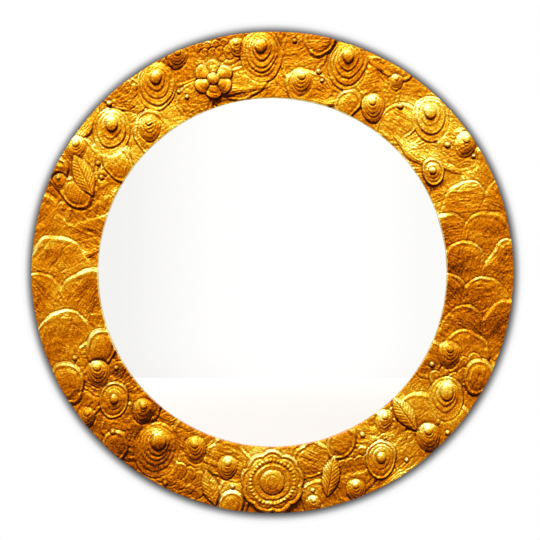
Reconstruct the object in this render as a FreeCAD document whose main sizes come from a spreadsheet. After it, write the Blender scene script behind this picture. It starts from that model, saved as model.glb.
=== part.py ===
import FreeCAD, Part
import math
import os

import Sketcher
from FreeCAD import Placement, Rotation, Vector

# Round wall mirror with a gilt relief band.
# Frame: millimetres, X to the right, Z up, the front faces -Y.
# The origin is on the wall plane, at the centre of the mirror. Depths are measured from the wall, along -Y.

SIZES = {
    # Outline
    "outer_radius": 300,
    "band_width": 82.5,
    "edge_show": 0.8,
    # Ring core: its stand-off from the wall and the step of its rabbet
    "wall_gap": 6,
    "rabbet_step": 10.5,
    # Gilt band
    "band_thick": 3,
    # Glass stack, held from behind and as thick as the core
    "felt_thick": 0.8,
    "felt_width": 6,
    "felt_inset": 1.5,
    "felt_count": 8,
    "felt_half_length": 18,
    "glass_thick": 4,
    "glass_clearance": 2,
    "stack_seam": 0.1,
    "backing_thick": 4,
    "backing_clearance": 0.8,
    "shim_count": 4,
    "shim_half_length": 9,
    "shim_seam": 0.1,
    # Turn buttons over the backing board
    "button_count": 4,
    "button_first_clock": 45,
    "button_pivot_inset": 9,
    "button_heel": 6,
    "button_reach": 20,
    "button_wide_half": 6.5,
    "button_tip_half": 4.5,
    "button_corner": 2.5,
    "button_thick": 1.2,
    "button_lift": 0.3,
    # Round head wood screws
    "screw_radius": 1.5,
    "screw_head_radius": 3.2,
    "screw_head_height": 1.6,
    "screw_bite": 7,
    "screw_seam": 0.1,
    # Hanger: a strap folded round the bar of a steel ring
    "hanger_pivot_inset": 22,
    "hanger_pivot_lift": 2.7,
    "strap_gauge": 0.8,
    "strap_width": 18,
    "strap_length": 26,
    "strap_corner": 4,
    "strap_screw_start": 16,
    "ring_thick": 2,
    "ring_bar": 2.6,
    "ring_bore_clearance": 0.2,
    "ring_half_width": 14,
    "ring_corner": 4,
    "ring_height": 19,
    # Square bumpers
    "bumper_count": 4,
    "bumper_inset": 24,
    "bumper_side": 13,
    # Relief on the band
    "relief_gap": 0.5,
    "boss_length": 62,
    "boss_width": 50,
    "boss_height": 6.6,
    "boss_slide": 5,
    "eye_length": 44,
    "eye_width": 34,
    "eye_height": 2.2,
    "eye_pupil": 14,
    "eye_pupil_height": 5,
    "leaf_length": 52,
    "leaf_width": 22,
    "leaf_height": 3,
    "rosette_radius": 25,
    "rosette_notch": 5,
    "rosette_height": 3.4,
    "rosette_button": 7.5,
    "rosette_button_height": 5.4,
    "petal_count": 6,
    "medallion_radius": 40,
    "medallion_notch": 4,
    "medallion_height": 2.4,
    "medallion_lobes": 9,
    "medallion_boss": 15,
    "medallion_boss_height": 4.6,
    "small_scale_length": 78,
    "small_scale_width": 62,
    "small_scale_row": 39,
    "small_scale_column": 54,
    "small_scale_rise": 3.8,
    "small_scale_start": 22,
    "large_scale_length": 106,
    "large_scale_width": 84,
    "large_scale_row": 50,
    "large_scale_column": 74,
    "large_scale_rise": 4.8,
    "large_scale_start": -262,
    # One overrun serves all cuts
    "overrun": 2,
}

# Places on the band: clock angle in degrees, share of the band's width out from the sight edge, share of the
# motif's full size, and lean of its long axis from upright in degrees
BOSS_PLACE_SHARES = (
    (-49, 0.58, 0.94, 8),
    (-32, 0.66, 0.98, 4),
    (-3, 0.62, 1.06, 0),
    (20, 0.68, 1.00, 6),
    (46, 0.68, 0.94, -5),
    (126, 0.60, 0.88, 0),
    (213, 0.56, 1.12, 4),
)
EYE_PLACE_SHARES = (
    (58, 0.22, 0.80, -10),
    (150, 0.62, 1.10, 6),
    (231, 0.44, 1.05, 8),
)
LEAF_PLACE_SHARES = (
    (-63, 0.55, 1.1, -25),
    (137, 0.28, 1.0, -35),
    (164, 0.56, 1.0, 10),
    (196, 0.74, 0.9, -15),
)
ROSETTE_PLACE_SHARE = (-17, 0.40, 1.0, 0)
MEDALLION_PLACE_SHARE = (180, 0.52, 1.0, 0)
# Each tier of a boss, as a share of its outline, and where the pointed end arcs of an oval sit in its half width
BOSS_TIER_SHARES = (1.0, 0.66)
OVAL_END_SHARE = 0.72

# Fields of overlapping scales: first and last clock angle of the scale centres, and lean of the scales
SMALL_FIELD = (63, 112, 12)
LARGE_FIELD = (249, 292, -8)

WALLWARD = Vector(0, 1, 0)
OUTWARD = Vector(0, -1, 0)

os.makedirs("parts", exist_ok=True)
doc = FreeCAD.newDocument("round_mirror")

sheet = doc.addObject("Spreadsheet::Sheet", "sizes")
for row, (name, value) in enumerate(SIZES.items(), start=1):
    sheet.set(f"A{row}", name)
    sheet.set(f"B{row}", str(value))
    sheet.setAlias(f"B{row}", name)

# Fits: places and sizes that follow from the driving dimensions
FITS = {
    "sight_radius": "=sizes.outer_radius - sizes.band_width",
    "gilt_radius": "=sizes.outer_radius - sizes.edge_show",
    "rabbet_radius": "=sight_radius + sizes.rabbet_step",
    "core_back": "=sizes.wall_gap",
    "backing_front": "=core_back + sizes.backing_thick",
    "glass_back": "=backing_front + sizes.stack_seam",
    "glass_front": "=glass_back + sizes.glass_thick",
    "felt_back": "=glass_front + sizes.stack_seam",
    "core_front": "=felt_back + sizes.felt_thick",
    "band_face": "=core_front + sizes.band_thick",
    "felt_inner": "=sight_radius + sizes.felt_inset",
    "felt_outer": "=felt_inner + sizes.felt_width",
    "glass_radius": "=rabbet_radius - sizes.glass_clearance",
    "backing_radius": "=rabbet_radius - sizes.backing_clearance",
    "shim_inner": "=glass_radius + sizes.shim_seam",
    "shim_outer": "=rabbet_radius - sizes.shim_seam",
    "button_pivot": "=rabbet_radius + sizes.button_pivot_inset",
    "button_seat": "=core_back - sizes.button_lift",
    "button_bore": "=sizes.screw_radius + sizes.screw_seam",
    "button_screw_seat": "=button_seat - sizes.button_thick - sizes.screw_seam",
    "pilot_depth": "=sizes.screw_bite + sizes.screw_seam",
    "pilot_radius": "=sizes.screw_radius + sizes.screw_seam",
    "pivot_height": "=sizes.outer_radius - sizes.hanger_pivot_inset",
    "pivot_depth": "=core_back - sizes.hanger_pivot_lift",
    "barrel_bore": "=sqrt(sizes.ring_thick ^ 2 + sizes.ring_bar ^ 2) / 2 + sizes.ring_bore_clearance",
    "barrel_radius": "=barrel_bore + sizes.strap_gauge",
    "strap_thick": "=2 * sizes.strap_gauge",
    "strap_face": "=core_back - strap_thick",
    "strap_screw_height": "=pivot_height - sizes.strap_screw_start",
    "bumper_circle": "=sizes.outer_radius - sizes.bumper_inset",
}
fits = doc.addObject("Spreadsheet::Sheet", "fits")
for row, (name, formula) in enumerate(FITS.items(), start=1):
    fits.set(f"A{row}", name)
    fits.set(f"B{row}", formula)
    fits.setAlias(f"B{row}", name)
doc.recompute()

subparts = []


def value(expression):
    """What an expression in the driving dimensions and fits comes to."""
    result = sheet.evalExpression(expression)
    return float(getattr(result, "Value", result))


def size(name):
    """A driving dimension, or a fit that follows from them."""
    return value(f"sizes.{name}" if name in SIZES else f"fits.{name}")


def new_body(label):
    """An empty body that is one sub-part."""
    body = doc.addObject("PartDesign::Body", label)
    body.Label = label
    body.AllowCompound = True
    subparts.append(body)
    return body


def new_sketch(body, role, name, lift=None):
    """A sketch on one of the body's own origin planes, lifted off it by an expression."""
    plane = next(p for p in body.Origin.OriginFeatures if p.Role == role)
    sketch = body.newObject("Sketcher::SketchObject", f"{body.Name}_{name}")
    sketch.AttachmentSupport = [(plane, "")]
    sketch.MapMode = "FlatFace"
    if lift:
        sketch.setExpression("AttachmentOffset.Base.z", lift)
    return sketch


def bind(sketch, kind, *items):
    """A constraint whose last item is the expression that drives it."""
    *geometry, expression = items
    index = sketch.addConstraint(Sketcher.Constraint(kind, *geometry, value(expression)))
    name = f"{kind.lower()}{index}"
    sketch.renameConstraint(index, name)
    sketch.setExpression(f"Constraints.{name}", expression)


def circle(sketch, radius, along=None, up=None):
    """A circle about the sketch's centre, or at a place given by expressions along its two axes."""
    centre = Vector(value(along or "0"), value(up or "0"), 0)
    index = sketch.addGeometry(Part.Circle(centre, Vector(0, 0, 1), value(radius)), False)
    bind(sketch, "Radius", index, radius)
    if not along and not up:
        sketch.addConstraint(Sketcher.Constraint("Coincident", index, 3, -1, 1))
        return
    if along:
        bind(sketch, "DistanceX", -1, 1, index, 3, along)
    else:
        sketch.addConstraint(Sketcher.Constraint("PointOnObject", index, 3, -2))
    if up:
        bind(sketch, "DistanceY", -1, 1, index, 3, up)
    else:
        sketch.addConstraint(Sketcher.Constraint("PointOnObject", index, 3, -1))


def closed_outline(sketch, corners):
    """A closed outline of straight lines through corners, each given by expressions along the sketch's two axes."""
    here = [Vector(value(along), value(up), 0) for along, up in corners]
    count = len(here)
    for i in range(count):
        sketch.addGeometry(Part.LineSegment(here[i], here[(i + 1) % count]), False)
    for i in range(count):
        sketch.addConstraint(Sketcher.Constraint("Coincident", i, 2, (i + 1) % count, 1))
    for i, (along, up) in enumerate(corners):
        bind(sketch, "DistanceX", -1, 1, i, 1, along)
        bind(sketch, "DistanceY", -1, 1, i, 1, up)


def mirrored(right):
    """Corners of an outline's right half, and their mirror image on the left."""
    return right + [(f"-({along})", up) for along, up in reversed(right)]


def turned(body, corners):
    """A ring turned about the mirror's axis from its section, whose corners are given by radius and depth."""
    sketch = new_sketch(body, "XY_Plane", "section")
    closed_outline(sketch, [(radius, f"-({depth})") for radius, depth in corners])
    ring = body.newObject("PartDesign::Revolution", f"{body.Name}_turned")
    ring.Profile = sketch
    ring.ReferenceAxis = (sketch, ["V_Axis"])
    ring.Angle = 360
    sketch.Visibility = False
    return ring


def disc(label, radius, back, front):
    """A plain disc between two depths."""
    body = new_body(label)
    sketch = new_sketch(body, "XZ_Plane", "outline", back)
    circle(sketch, radius)
    pad = body.newObject("PartDesign::Pad", f"{label}_pad")
    pad.Profile = sketch
    pad.setExpression("Length", f"{front} - {back}")
    return body


def spread(body, features, count):
    """Copies of features evenly spaced about the mirror's axis."""
    axis = next(a for a in body.Origin.OriginFeatures if a.Role == "Y_Axis")
    pattern = body.newObject("PartDesign::PolarPattern", f"{body.Name}_spread")
    pattern.Originals = features
    pattern.Axis = (axis, [""])
    pattern.Angle = 360
    pattern.setExpression("Occurrences", count)
    body.Tip = pattern
    return pattern


def clock_place(radius, clock):
    """Expressions along X and Z of a place at a clock angle, clockwise from the top as seen from the front."""
    return f"{radius} * sin({clock})", f"{radius} * cos({clock})"


def pocket_towards_front(body, sketch, depth):
    """A blind pocket cut from the sketch towards the front of the mirror."""
    before = body.Shape.Volume
    pocket = body.newObject("PartDesign::Pocket", f"{sketch.Name}_pocket")
    pocket.Profile = sketch
    pocket.setExpression("Length", depth)
    pocket.Reversed = True
    doc.recompute()
    if not body.Shape.Volume < before:
        raise RuntimeError(f"{pocket.Name} cuts nothing")
    return pocket


def clocked(first, count, index):
    """Expression for the clock angle of one of a set of evenly spaced pieces."""
    return f"({first} + {index} * 360 / {count})"


# Ring core: a flat ring of board, painted dark, that carries everything else
core = new_body("core_ring")
turned(core, [
    ("fits.rabbet_radius", "fits.core_back"),
    ("sizes.outer_radius", "fits.core_back"),
    ("sizes.outer_radius", "fits.core_front"),
    ("fits.rabbet_radius", "fits.core_front"),
])
doc.recompute()
pilots = new_sketch(core, "XZ_Plane", "button_pilots", "fits.core_back")
circle(pilots, "fits.pilot_radius", *clock_place("fits.button_pivot", "sizes.button_first_clock"))
button_pilot = pocket_towards_front(core, pilots, "fits.pilot_depth")
spread(core, [button_pilot], "sizes.button_count")
doc.recompute()
pilots = new_sketch(core, "XZ_Plane", "hanger_pilot", "fits.core_back")
circle(pilots, "fits.pilot_radius", None, "fits.strap_screw_height")
pocket_towards_front(core, pilots, "fits.pilot_depth")

# Gilt band: a moulded ring glued to the core, with a lip inwards that holds the glass
gilt = new_body("gilt_ring")
turned(gilt, [
    ("fits.sight_radius", "fits.core_front"),
    ("fits.gilt_radius", "fits.core_front"),
    ("fits.gilt_radius", "fits.band_face"),
    ("fits.sight_radius", "fits.band_face"),
])


def blocks(label, inner, outer, half_length, lift, thick, count):
    """Short straight blocks evenly spread round the mirror, each between two radii."""
    body = new_body(label)
    outline = new_sketch(body, "XZ_Plane", "outline", lift)
    top = f"sqrt(({outer}) ^ 2 - ({half_length}) ^ 2)"
    closed_outline(outline, mirrored([(half_length, inner), (half_length, top)]))
    pad = body.newObject("PartDesign::Pad", f"{label}_pad")
    pad.Profile = outline
    pad.setExpression("Length", thick)
    spread(body, [pad], count)


# Glass stack, from the front: felt pads under the lip, mirror, backing board flush with the back of the core.
# Cork shims centre the glass in the core.
blocks("felt_pads", "fits.felt_inner", "fits.felt_outer", "sizes.felt_half_length", "fits.felt_back",
       "sizes.felt_thick", "sizes.felt_count")
disc("mirror_glass", "fits.glass_radius", "fits.glass_back", "fits.glass_front")
blocks("glass_shims", "fits.shim_inner", "fits.shim_outer", "sizes.shim_half_length", "fits.glass_back",
       "sizes.glass_thick", "sizes.shim_count")
disc("backing_board", "fits.backing_radius", "fits.core_back", "fits.backing_front")


def shank_and_head(body, name, seat, along, up):
    """A round head wood screw driven towards the front: shank and head, each from its seat."""
    shank_end = new_sketch(body, "XZ_Plane", f"{name}_shank_end", seat)
    circle(shank_end, "sizes.screw_radius", along, up)
    shank = body.newObject("PartDesign::Pad", f"{name}_shank")
    shank.Profile = shank_end
    shank.setExpression("Length", f"fits.core_back - {seat} + sizes.screw_bite")
    head_rim = new_sketch(body, "XZ_Plane", f"{name}_head_rim", seat)
    circle(head_rim, "sizes.screw_head_radius", along, up)
    head = body.newObject("PartDesign::Pad", f"{name}_head")
    head.Profile = head_rim
    head.setExpression("Length", "sizes.screw_head_height")
    head.Reversed = True
    return [shank, head]


def turn_button(label, clock):
    """A pressed steel turn button with clipped corners: pivot at its wide heel, tip over the backing board."""
    body = new_body(label)
    outline = new_sketch(body, "XZ_Plane", "outline")
    wide, tip, cut = "sizes.button_wide_half", "sizes.button_tip_half", "sizes.button_corner"
    heel, reach = "sizes.button_heel", "sizes.button_reach"
    closed_outline(outline, mirrored([
        (f"{wide} - {cut}", heel),
        (wide, f"{heel} - {cut}"),
        (tip, f"{cut} - {reach}"),
        (f"{tip} - {cut}", f"-{reach}"),
    ]))
    circle(outline, "fits.button_bore")
    plate = body.newObject("PartDesign::Pad", f"{label}_plate")
    plate.Profile = outline
    plate.setExpression("Length", "sizes.button_thick")
    plate.Reversed = True
    x, z = clock_place("fits.button_pivot", clock)
    body.Placement = Placement(Vector(), Rotation(WALLWARD, value(clock)))
    body.setExpression("Placement.Base.x", x)
    body.setExpression("Placement.Base.y", "-fits.button_seat")
    body.setExpression("Placement.Base.z", z)
    body.setExpression("Placement.Rotation.Angle", clock)


# Turn buttons that hold the backing board
for index in range(int(size("button_count"))):
    turn_button(f"turn_button_{index + 1}", clocked("sizes.button_first_clock", "sizes.button_count", index))

# Hanger strap: a plate folded over at the top into a barrel
strap = new_body("hanger_strap")
outline = new_sketch(strap, "XZ_Plane", "plate_outline", "fits.strap_face")
half, cut, top = "sizes.strap_width / 2", "sizes.strap_corner", "fits.pivot_height"
closed_outline(outline, mirrored([
    (half, top),
    (half, f"{top} - sizes.strap_length + {cut}"),
    (f"{half} - {cut}", f"{top} - sizes.strap_length"),
]))
circle(outline, "fits.button_bore", None, "fits.strap_screw_height")
plate = strap.newObject("PartDesign::Pad", "hanger_strap_plate")
plate.Profile = outline
plate.setExpression("Length", "fits.strap_thick")
barrel_end = new_sketch(strap, "YZ_Plane", "barrel_end")
circle(barrel_end, "fits.barrel_radius", "-fits.pivot_depth", "fits.pivot_height")
barrel = strap.newObject("PartDesign::Pad", "hanger_strap_barrel")
barrel.Profile = barrel_end
barrel.setExpression("Length", "sizes.strap_width")
barrel.Midplane = True
doc.recompute()
bore_end = new_sketch(strap, "YZ_Plane", "bore_end")
circle(bore_end, "fits.barrel_bore", "-fits.pivot_depth", "fits.pivot_height")
bore = strap.newObject("PartDesign::Pocket", "hanger_strap_bore")
bore.Profile = bore_end
bore.setExpression("Length", "sizes.strap_width + 2 * sizes.overrun")
bore.Midplane = True

# Wood screws: one through each turn button, one through the hanger strap
screws = new_body("wood_screws")
place = clock_place("fits.button_pivot", "sizes.button_first_clock")
spread(screws, shank_and_head(screws, "button_screw", "fits.button_screw_seat", *place), "sizes.button_count")
shank_and_head(screws, "strap_screw", "fits.strap_face", None, "fits.strap_screw_height")


def d_outline(sketch, inset):
    """The outline of the hanging ring, drawn in by an inset: straight foot, two bends, sides and round crown."""
    wide, bend = f"sizes.ring_half_width - {inset}", f"sizes.ring_corner - {inset}"
    foot = f"fits.pivot_height - sizes.ring_bar / 2 + {inset}"
    shoulder = "fits.pivot_height + sizes.ring_height - sizes.ring_half_width"
    side, turn, low, high = value(wide), value(bend), value(foot), value(shoulder)
    straight, risen = side - turn, low + turn
    right_bend = Part.Circle(Vector(straight, risen, 0), Vector(0, 0, 1), turn)
    left_bend = Part.Circle(Vector(-straight, risen, 0), Vector(0, 0, 1), turn)
    crown = Part.Circle(Vector(0, high, 0), Vector(0, 0, 1), side)
    runs = [
        Part.LineSegment(Vector(-straight, low, 0), Vector(straight, low, 0)),
        Part.ArcOfCircle(right_bend, -math.pi / 2, 0),
        Part.LineSegment(Vector(side, risen, 0), Vector(side, high, 0)),
        Part.ArcOfCircle(crown, 0, math.pi),
        Part.LineSegment(Vector(-side, high, 0), Vector(-side, risen, 0)),
        Part.ArcOfCircle(left_bend, math.pi, 3 * math.pi / 2),
    ]
    sketch.addGeometry(runs, False)
    for index in range(len(runs)):
        sketch.addConstraint(Sketcher.Constraint("Tangent", index, 2, (index + 1) % len(runs), 1))
    sketch.addConstraint(Sketcher.Constraint("Horizontal", 0))
    sketch.addConstraint(Sketcher.Constraint("Vertical", 2))
    sketch.addConstraint(Sketcher.Constraint("Vertical", 4))
    sketch.addConstraint(Sketcher.Constraint("PointOnObject", 3, 3, -2))
    bind(sketch, "DistanceY", -1, 1, 0, 1, foot)
    bind(sketch, "Radius", 1, bend)
    bind(sketch, "Radius", 5, bend)
    bind(sketch, "Radius", 3, wide)
    bind(sketch, "DistanceY", -1, 1, 3, 3, shoulder)


# Hanging ring: a D stamped from plate, its straight bar through the barrel of the strap
ring = new_body("hanging_ring")
ring_back = "fits.pivot_depth - sizes.ring_thick / 2"
rim = new_sketch(ring, "XZ_Plane", "rim", ring_back)
d_outline(rim, "0")
plate = ring.newObject("PartDesign::Pad", "hanging_ring_plate")
plate.Profile = rim
plate.setExpression("Length", "sizes.ring_thick")
doc.recompute()
eye = new_sketch(ring, "XZ_Plane", "eye", ring_back)
d_outline(eye, "sizes.ring_bar")
pocket_towards_front(ring, eye, "sizes.ring_thick")

# Bumpers: four square pads that stand the mirror off the wall, between the turn buttons and the rim
bumpers = new_body("wall_bumpers")
foot = new_sketch(bumpers, "XZ_Plane", "foot")
foot.setExpression("AttachmentOffset.Rotation.Angle", "180 / sizes.bumper_count")
half = "sizes.bumper_side / 2"
closed_outline(foot, mirrored([(half, f"fits.bumper_circle - {half}"), (half, f"fits.bumper_circle + {half}")]))
pad = bumpers.newObject("PartDesign::Pad", "wall_bumpers_pad")
pad.Profile = foot
pad.setExpression("Length", "fits.core_back")
spread(bumpers, [pad], "sizes.bumper_count")
doc.recompute()


def band_place(clock, across_share):
    """The place on the band at a clock angle and a share of the band's width, on the wall plane."""
    radius = size("sight_radius") + across_share * size("band_width")
    angle = math.radians(clock)
    return Vector(radius * math.sin(angle), 0, radius * math.cos(angle))


def axes(lean):
    """Directions along and across a motif whose long axis leans from upright."""
    angle = math.radians(lean)
    along = Vector(math.sin(angle), 0, math.cos(angle))
    return along, Vector(-along.z, 0, along.x)


def oval(place, lean, length, width, depth):
    """A closed four-centred oval parallel to the band's face."""
    along, across = axes(lean)
    half, side = length / 2, width / 2
    end = side * OVAL_END_SHARE
    offset = ((half - end) ** 2 - (side - end) ** 2) / (2 * (side - end))
    angle = math.atan2(offset, half - end)
    join_along, join_across = half - end + end * math.cos(angle), end * math.sin(angle)

    def point(u, v):
        return place + along * u + across * v + OUTWARD * depth

    stations = (
        (join_along, -join_across), (half, 0), (join_along, join_across), (0, side),
        (-join_along, join_across), (-half, 0), (-join_along, -join_across), (0, -side),
    )
    points = [point(*station) for station in stations]
    return Part.Wire([Part.Arc(points[i], points[i + 1], points[(i + 2) % 8]).toShape() for i in (0, 2, 4, 6)])


def tier(place, lean, length, width, height):
    """An oval step that stands on the band's face."""
    return Part.Face(oval(place, lean, length, width, size("band_face"))).extrude(OUTWARD * height)


def stepped_boss(place, share, lean):
    """Ovals stepped up one on the other, each sliding towards the upper end."""
    along = axes(lean)[0]
    rise = size("boss_height") * share / len(BOSS_TIER_SHARES)
    steps = []
    for step, tier_share in enumerate(BOSS_TIER_SHARES):
        part = tier_share * share
        slid = place + along * size("boss_slide") * share * step
        steps.append(tier(slid, lean, size("boss_length") * part, size("boss_width") * part, rise * (step + 1)))
    return steps[0].multiFuse(steps[1:]).removeSplitter()


def stud(place, radius, height):
    """A round stud on the band's face, its rim in four quarters."""
    centre = place + OUTWARD * size("band_face")
    rim = [centre + axes(360 * step / 8)[0] * radius for step in range(8)]
    quarters = [Part.Arc(rim[i], rim[i + 1], rim[(i + 2) % 8]).toShape() for i in (0, 2, 4, 6)]
    return Part.Face(Part.Wire(quarters)).extrude(OUTWARD * height)


def eye_boss(place, share, lean):
    """A low oval with a tall pupil."""
    low = tier(place, lean, size("eye_length") * share, size("eye_width") * share, size("eye_height"))
    return low.fuse(stud(place, size("eye_pupil") * share / 2, size("eye_pupil_height"))).removeSplitter()


def leaf(place, share, lean):
    """A pointed leaf between two arcs."""
    along, across = axes(lean)
    base = place + OUTWARD * size("band_face")
    tips = [base + along * sign * size("leaf_length") * share / 2 for sign in (1, -1)]
    bellies = [base + across * sign * size("leaf_width") * share / 2 for sign in (1, -1)]
    sides = [Part.Arc(tips[0], bellies[0], tips[1]), Part.Arc(tips[1], bellies[1], tips[0])]
    return Part.Face(Part.Wire([side.toShape() for side in sides])).extrude(OUTWARD * size("leaf_height"))


def lobed_disc(place, radius, notch, lobes, height):
    """A disc whose edge is a ring of round lobes."""
    lift = OUTWARD * size("band_face")

    def point(index, reach):
        angle = math.pi * index / lobes
        return place + lift + Vector(reach * math.sin(angle), 0, reach * math.cos(angle))

    arcs = [Part.Arc(point(2 * i - 1, radius - notch), point(2 * i, radius), point(2 * i + 1, radius - notch))
            for i in range(lobes)]
    return Part.Face(Part.Wire([arc.toShape() for arc in arcs])).extrude(OUTWARD * height)


def rosette(place):
    """A lobed flower with a raised centre."""
    petals = lobed_disc(place, size("rosette_radius"), size("rosette_notch"), int(size("petal_count")),
                        size("rosette_height"))
    return petals.fuse(stud(place, size("rosette_button"), size("rosette_button_height"))).removeSplitter()


def medallion(place):
    """A wide lobed disc with a round boss in its middle."""
    plate = lobed_disc(place, size("medallion_radius"), size("medallion_notch"), int(size("medallion_lobes")),
                       size("medallion_height"))
    return plate.fuse(stud(place, size("medallion_boss"), size("medallion_boss_height"))).removeSplitter()


def scale(place, lean, length, width, rise):
    """One scale: flat on the band at its lower end, with its free upper edge standing off."""
    along, across = axes(lean)
    face = OUTWARD * size("band_face")
    prism = Part.Face(oval(place, lean, length, width, size("band_face"))).extrude(OUTWARD * rise)
    corner = place + face - across * (width / 2)
    profile = Part.makePolygon([
        corner - along * (length / 2), corner + along * (length / 2),
        corner + along * (length / 2) + OUTWARD * rise, corner - along * (length / 2),
    ])
    return prism.common(Part.Face(profile).extrude(across * width))


def scale_field(kind, first_clock, last_clock, lean):
    """Rows of overlapping scales, each row half a column along from the next."""
    length, width, rise = (size(f"{kind}_scale_{name}") for name in ("length", "width", "rise"))
    row_pitch, column_pitch, start = (size(f"{kind}_scale_{name}") for name in ("row", "column", "start"))
    reach = size("outer_radius")
    near, far = size("sight_radius"), size("outer_radius")
    scales = []
    for row in range(-int(reach / row_pitch), int(reach / row_pitch) + 1):
        for column in range(-int(2 * reach / column_pitch), int(2 * reach / column_pitch) + 1):
            place = Vector(start + (column + row % 2 / 2) * column_pitch, 0, row * row_pitch)
            clock = math.degrees(math.atan2(place.x, place.z)) % 360
            if near < place.Length < far and first_clock < clock < last_clock:
                scales.append(scale(place, lean, length, width, rise))
    return scales[0].multiFuse(scales[1:]).removeSplitter()


# The space over the band's face that the relief is cut to, and the footprints that later motifs leave free
tall = size("boss_height") * 2
band_space = Part.makeCylinder(size("gilt_radius"), tall, OUTWARD * size("band_face"), OUTWARD)
band_space = band_space.cut(Part.makeCylinder(size("sight_radius"), tall, OUTWARD * size("band_face"), OUTWARD))
footprints = []


def footprint(place, lean, length, width):
    """The column over an oval motif, grown by the gap that neighbours keep."""
    gap = 2 * size("relief_gap")
    if length == width:
        return Part.makeCylinder(length / 2 + gap / 2, tall, place + OUTWARD * size("band_face"), OUTWARD)
    return Part.Face(oval(place, lean, length + gap, width + gap, size("band_face"))).extrude(OUTWARD * tall)


def settle(shape):
    """A motif cut to the band and kept clear of the motifs placed before it."""
    shape = shape.common(band_space)
    for column in footprints:
        if shape.BoundBox.intersect(column.BoundBox):
            shape = shape.cut(column)
    return shape.Solids


def relief(label, motifs):
    """One sub-part of the relief: motifs of a kind, each given as its solid and its footprint."""
    solids = []
    for shape, column in motifs:
        solids += settle(shape)
        if column:
            footprints.append(column)
    feature = doc.addObject("Part::Feature", label)
    feature.Label = label
    feature.Shape = Part.makeCompound(solids)
    feature.Placement = Placement()
    subparts.append(feature)


def motif(maker, length, width, clock, across_share, share, lean):
    """A motif's solid at its place on the band, with its footprint."""
    place = band_place(clock, across_share)
    return maker(place, share, lean), footprint(place, lean, length * share, width * share)


def round_motif(maker, radius, clock, across_share, share, lean):
    """A round motif at its place on the band, with its footprint."""
    place = band_place(clock, across_share)
    return maker(place), footprint(place, lean, 2 * radius * share, 2 * radius * share)


relief("rosettes", [
    round_motif(medallion, size("medallion_radius"), *MEDALLION_PLACE_SHARE),
    round_motif(rosette, size("rosette_radius"), *ROSETTE_PLACE_SHARE),
])
relief("stepped_bosses", [motif(stepped_boss, size("boss_length"), size("boss_width"), *row)
                          for row in BOSS_PLACE_SHARES])
relief("eye_bosses", [motif(eye_boss, size("eye_length"), size("eye_width"), *row) for row in EYE_PLACE_SHARES])
relief("leaves", [motif(leaf, size("leaf_length"), size("leaf_width"), *row) for row in LEAF_PLACE_SHARES])
relief("overlapping_scales", [(scale_field("small", *SMALL_FIELD), None),
                              (scale_field("large", *LARGE_FIELD), None)])
doc.recompute()

for item in doc.Objects:
    if {"Invalid", "Error"} & set(item.State):
        raise RuntimeError(f"{item.Name} is {item.State}")
for subpart in subparts:
    shape = subpart.Shape
    if shape.isNull() or not shape.isValid():
        raise RuntimeError(f"{subpart.Label} has no valid shape")
for subpart in subparts:
    subpart.Shape.exportStep(f"parts/{subpart.Label}.step")
    print(subpart.Label, len(subpart.Shape.Solids), round(subpart.Shape.Volume, 1))
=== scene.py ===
import math

import bpy
import numpy as np
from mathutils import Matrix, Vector


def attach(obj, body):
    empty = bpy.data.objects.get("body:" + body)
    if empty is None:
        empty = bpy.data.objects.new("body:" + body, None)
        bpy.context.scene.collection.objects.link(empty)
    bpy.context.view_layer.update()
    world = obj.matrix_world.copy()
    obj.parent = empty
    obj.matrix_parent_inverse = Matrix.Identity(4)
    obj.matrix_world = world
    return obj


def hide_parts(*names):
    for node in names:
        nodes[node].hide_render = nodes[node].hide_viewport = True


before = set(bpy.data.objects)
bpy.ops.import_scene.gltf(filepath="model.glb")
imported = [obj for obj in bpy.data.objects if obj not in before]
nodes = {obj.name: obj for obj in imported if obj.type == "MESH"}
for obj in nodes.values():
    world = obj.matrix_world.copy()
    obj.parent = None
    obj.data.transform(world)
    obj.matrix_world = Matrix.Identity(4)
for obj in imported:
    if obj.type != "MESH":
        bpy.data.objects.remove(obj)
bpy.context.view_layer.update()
scene = bpy.context.scene

MM = 0.001

# Sizes of the band, in millimetres, as the CAD model has them. Depths are measured from the wall, and the
# relief's heights from the face of the band
SIGHT_RADIUS = 217.5
GILT_RADIUS = 299.2
OUTER_RADIUS = 300.0
BAND_BACK = 15.0
BAND_FACE = 18.0
HIGHEST = 7.35
LOWEST = -1.2

# Shapes that the relief is built from

NOISE_CELLS = 128
NOISE_SEED = 1000


def noise(x, z, seed):
    """Smooth value noise from -1 to 1, with features about one unit across."""
    table = np.random.default_rng(NOISE_SEED + seed).uniform(-1, 1, (NOISE_CELLS, NOISE_CELLS))
    column, row = np.floor(x).astype(int), np.floor(z).astype(int)
    over, up = x - column, z - row
    over, up = over * over * (3 - 2 * over), up * up * (3 - 2 * up)
    left, right = column % NOISE_CELLS, (column + 1) % NOISE_CELLS
    below, above = row % NOISE_CELLS, (row + 1) % NOISE_CELLS
    low = table[below, left] * (1 - over) + table[below, right] * over
    high = table[above, left] * (1 - over) + table[above, right] * over
    return low * (1 - up) + high * up


def smooth(start, end, value):
    """A soft step from 0 at the start to 1 at the end."""
    share = np.clip((value - start) / (end - start), 0, 1)
    return share * share * (3 - 2 * share)


def ridge(distance, height, at, width):
    """A rounded ridge along the line where the distance has the value at."""
    return height * np.exp(-((distance - at) / width) ** 2)


def cap(share):
    """A round cap: 1 in the middle, 0 where the share is 1 or more."""
    return np.sqrt(np.clip(1 - share ** 2, 0, 1))


def creased(values):
    """Noise folded at zero, so that its waves have sharp crests."""
    return 0.7 - 2 * np.abs(values)


def turned(x, z, turn):
    """Distances along and across a direction, which is turned from x towards z."""
    return x * math.cos(turn) + z * math.sin(turn), z * math.cos(turn) - x * math.sin(turn)


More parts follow.
